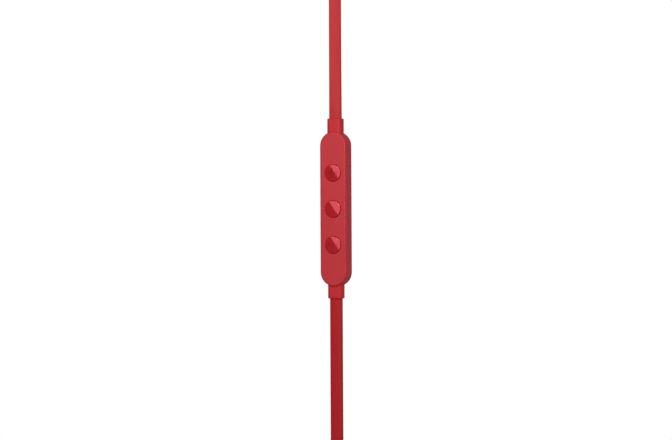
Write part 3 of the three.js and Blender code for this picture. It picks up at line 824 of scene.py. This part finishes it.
def splitter():
    """A soft-edged block with a faint waist."""
    u, v = (0, 0, 1), (0, 1, 0)
    rings = []
    length = SPLITTER_X[1] - SPLITTER_X[0]
    count = 24
    for k in range(count + 1):
        t = k / count
        end = min(t, 1 - t) * length
        rounding = math.sin(math.pi / 2 * min(end / SPLITTER_EDGE_LENGTH, 1.0))
        inset = SPLITTER_EDGE * (1 - rounding)
        waist = SPLITTER_WAIST * math.sin(math.pi * t)
        height = SPLITTER_HEIGHT - 2 * inset
        thick = SPLITTER_THICK - 2 * inset - waist
        centre = (SPLITTER_X[0] + t * length, SPLITTER_Y, SPLITTER_Z)
        rings.append(round_section(centre, u, v, height, thick, SPLITTER_CORNER - inset))
    piece = loft("cord_splitter_visual", rings, sharp_angle=50)
    return dress(piece, SLEEVE, "cord_splitter")


def hank_tie():
    """A strap round the hank: a rounded rectangle in X and Z, swept as a flat band."""
    middle_x, middle_z = (TIE_X[0] + TIE_X[1]) / 2, (TIE_Z[0] + TIE_Z[1]) / 2
    width, height = TIE_X[1] - TIE_X[0], TIE_Z[1] - TIE_Z[0]

    def ring(y, less, corner):
        size = (width - less, height - less)
        return round_section((middle_x, y, middle_z), (1, 0, 0), (0, 0, 1), *size, corner, steps=8)

    (low_rim, low), (high, high_rim) = TIE_Y
    rings = [ring(low_rim, 2 * TIE_EDGE, TIE_CORNER), ring(low, 0.0, TIE_CORNER)]
    rings += [ring(high, 0.0, TIE_CORNER), ring(high_rim, 2 * TIE_EDGE, TIE_CORNER)]
    rings += [ring(high_rim, TIE_BAND - TIE_EDGE, TIE_INNER_CORNER)]
    rings += [ring(high, TIE_BAND, TIE_INNER_CORNER), ring(low, TIE_BAND, TIE_INNER_CORNER)]
    rings += [ring(low_rim, TIE_BAND - TIE_EDGE, TIE_INNER_CORNER)]
    piece = loft("hank_tie_visual", rings, closed=True)
    return dress(piece, STRAP, "hank_tie")


plug_pieces = plug()
splitter_piece = splitter()
tie_piece = hank_tie()

# ---------------------------------------------------------------- CAD pieces that show as they are

PLAIN = {
    BOARD: ["circuit_board"],
    PAD: ["button_pad"],
    STEEL: ["volume_up_switch", "centre_switch", "volume_down_switch", "microphone_capsule"],
    BLACK: ["control_chip", "microphone_mesh"],
    COPPER: ["upper_inner_leads", "lower_inner_leads"],
    FILM: [],
}
for side in ("right", "left"):
    PLAIN[BLACK].append(side + "_driver_frame")
    PLAIN[STEEL].append(side + "_driver_magnet")
    PLAIN[COPPER].append(side + "_voice_coil")
    PLAIN[FILM].append(side + "_driver_diaphragm")
for material, names in PLAIN.items():
    for name in names:
        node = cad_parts[name]
        node.data.materials.clear()
        node.data.materials.append(material)

# ---------------------------------------------------------------- floor and light

# The floor's half side and level are in millimetres, the lights' places and sizes in metres.
FLOOR_REACH, FLOOR_Z = 1500.0, -0.02
FLOOR_GREY, FLOOR_ROUGHNESS, FLOOR_GLOW = 0.04, 0.9, 0.985
WORLD_LEVEL, WORLD_SLOPE = 0.38, 0.6
KEY_PLACE = (0.035, 0.085, 0.19)
KEY_SIZE, KEY_POWER = 0.12, 0.325
SOFTBOX_HEIGHT, SOFTBOX_SHIFT, SOFTBOX_LEVEL = 0.9, 0.03, 1.75
SOFTBOX_SIZE = (1.1, 0.9)
SOFTBOX_TURN = math.radians(40)


def add_floor():
    """A plain ground that glows white and lights nothing."""
    r = FLOOR_REACH
    corners = [(-r, -r, FLOOR_Z), (r, -r, FLOOR_Z), (r, r, FLOOR_Z), (-r, r, FLOOR_Z)]
    floor = make_mesh("floor", corners, [[0, 1, 2, 3]])
    material = bpy.data.materials.new("floor_white")
    material.use_nodes = True
    shader = material.node_tree.nodes["Principled BSDF"]
    shader.inputs["Base Color"].default_value = (FLOOR_GREY, FLOOR_GREY, FLOOR_GREY, 1.0)
    shader.inputs["Roughness"].default_value = FLOOR_ROUGHNESS
    shader.inputs["Specular IOR Level"].default_value = 0.0
    shader.inputs["Emission Color"].default_value = (1.0, 1.0, 1.0, 1.0)
    shader.inputs["Emission Strength"].default_value = FLOOR_GLOW
    floor.data.materials.append(material)
    floor.visible_diffuse = False
    floor.visible_glossy = False


def add_world():
    """A dim surround that grows brighter towards +X."""
    world = bpy.data.worlds.new("studio")
    world.use_nodes = True
    nodes, links = world.node_tree.nodes, world.node_tree.links
    background = nodes["Background"]
    background.inputs["Strength"].default_value = WORLD_LEVEL
    place = nodes.new("ShaderNodeTexCoord")
    split = nodes.new("ShaderNodeSeparateXYZ")
    grade = nodes.new("ShaderNodeMapRange")
    links.new(place.outputs["Generated"], split.inputs["Vector"])
    links.new(split.outputs["X"], grade.inputs["Value"])
    grade.inputs["From Min"].default_value = -1.0
    grade.inputs["From Max"].default_value = 1.0
    grade.inputs["To Min"].default_value = 1.0 - WORLD_SLOPE
    grade.inputs["To Max"].default_value = 1.0 + WORLD_SLOPE
    links.new(grade.outputs["Result"], background.inputs["Color"])
    bpy.context.scene.world = world


def add_key():
    """The light that shades the piece, near its upper end and turned to the origin."""
    data = bpy.data.lights.new("key", "AREA")
    data.size = KEY_SIZE
    data.energy = KEY_POWER
    key = bpy.data.objects.new("key", data)
    bpy.context.scene.collection.objects.link(key)
    key.location = KEY_PLACE
    key.rotation_mode = "QUATERNION"
    key.rotation_quaternion = Vector(KEY_PLACE).to_track_quat("Z", "Y")


def add_softbox():
    """A light that only shows as the slanting reflection in the buttons."""
    height = SOFTBOX_HEIGHT
    length, depth = SOFTBOX_SIZE[0] * height, SOFTBOX_SIZE[1] * height
    edge = Vector((-height * math.tan(VIEW_TURN), 0, height))
    across = Vector((math.cos(SOFTBOX_TURN), math.sin(SOFTBOX_TURN), 0))
    data = bpy.data.lights.new("softbox", "AREA")
    data.shape = "RECTANGLE"
    data.size, data.size_y = depth, length
    data.energy = SOFTBOX_LEVEL * math.pi * depth * length
    light = bpy.data.objects.new("softbox", data)
    bpy.context.scene.collection.objects.link(light)
    light.location = edge + across * (depth / 2 + SOFTBOX_SHIFT * height)
    light.rotation_euler = (0, 0, SOFTBOX_TURN)
    light.visible_diffuse = False


add_floor()
add_world()
add_key()
add_softbox()
colours = bpy.context.scene.view_settings
colours.view_transform = "Standard"
colours.look = "None"
colours.exposure = 0.0
colours.gamma = 1.0
